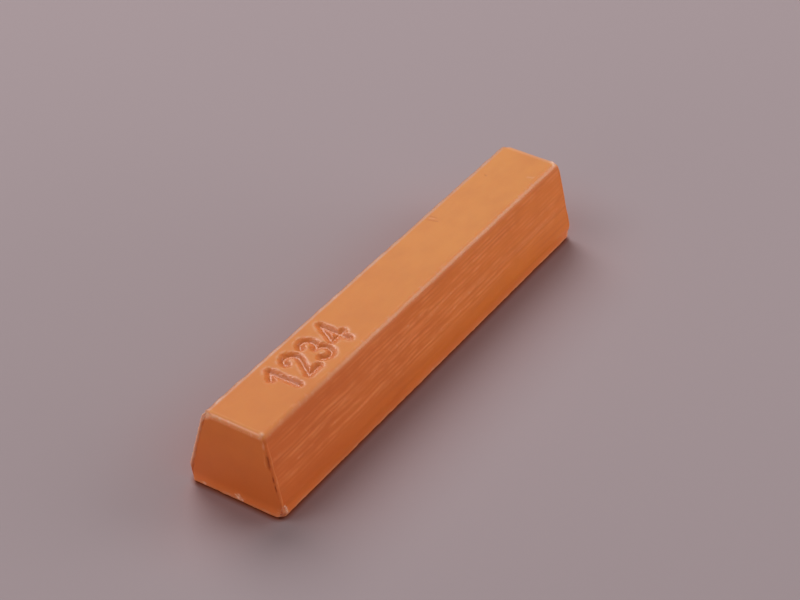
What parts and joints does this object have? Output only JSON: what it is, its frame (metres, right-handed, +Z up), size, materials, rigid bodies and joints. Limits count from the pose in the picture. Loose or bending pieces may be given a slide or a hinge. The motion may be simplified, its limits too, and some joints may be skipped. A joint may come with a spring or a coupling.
{
  "type": "furniture repair wax stick",
  "caption": "Solid bar of orange-brown filler wax with drafted sides, rounded upper edges and a flat pour face, rubbed or melted into wood to fill scratches.",
  "frame": {"origin": "centre of the flat pour face that the bar lies on", "axes": "+X along the bar, the way the number reads; +Y across the bar, towards the top of the number; +Z up, from the pour face to the narrow number face"},
  "size_m": [0.08, 0.0154, 0.0136],
  "materials": {
    "wax": "satin cast wax, orange-brown, with faint lengthwise mould lines on the sides"
  },
  "bodies": {
    "root": {"wax_stick": "wax"}
  },
  "joints": []
}
